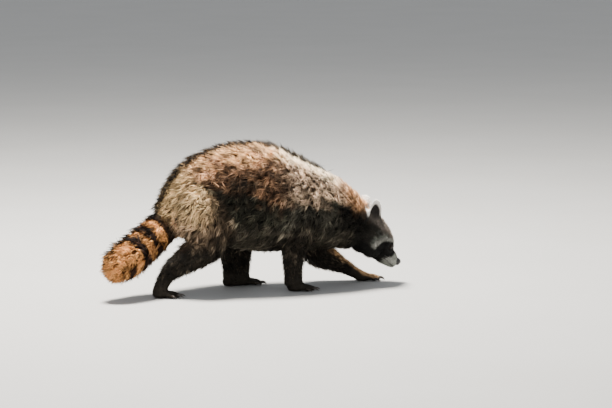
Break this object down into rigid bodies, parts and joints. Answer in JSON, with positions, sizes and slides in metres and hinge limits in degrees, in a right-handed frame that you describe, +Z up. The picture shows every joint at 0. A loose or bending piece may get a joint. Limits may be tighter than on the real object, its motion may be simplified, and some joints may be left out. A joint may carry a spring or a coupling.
{
  "type": "raccoon",
  "caption": "Life-size raccoon walking with arched back and head lowered to the ground, a forepaw reaching ahead and the bushy ringed tail hanging behind.",
  "frame": {"origin": "on the floor under the middle of the animal's bounding box; the soles are on Z = 0", "axes": "+X the way it walks, +Y its left side, +Z up"},
  "size_m": [0.6574, 0.2074, 0.307],
  "materials": {
    "back_coat": "brown grizzled fur",
    "neck_coat": "orange-brown fur",
    "face_coat": "grey fur with a black mask",
    "ear_coat": "short fur with a pale rim",
    "eye": "wet black",
    "nose": "damp black skin",
    "limb_coat": "grey-buff fur",
    "lower_leg_coat": "dark brown fur",
    "paw": "short dark fur, black claws",
    "tail_coat": "tan fur with dark rings"
  },
  "bodies": {
    "root": {"trunk": "back_coat", "neck": "neck_coat", "head": "face_coat", "lower_jaw": "face_coat", "ear_left": "ear_coat", "ear_right": "ear_coat", "eye_left": "eye", "eye_right": "eye", "nose": "nose", "upper_arm_left": "limb_coat", "upper_arm_right": "limb_coat", "forearm_left": "lower_leg_coat", "forearm_right": "lower_leg_coat", "fore_paw_left": "paw", "fore_paw_right": "paw", "thigh_left": "limb_coat", "thigh_right": "limb_coat", "shin_left": "lower_leg_coat", "shin_right": "lower_leg_coat", "hind_paw_left": "paw", "hind_paw_right": "paw", "tail_1": "tail_coat", "tail_2": "tail_coat", "tail_3": "tail_coat", "tail_4": "tail_coat", "tail_5": "tail_coat"}
  },
  "joints": []
}
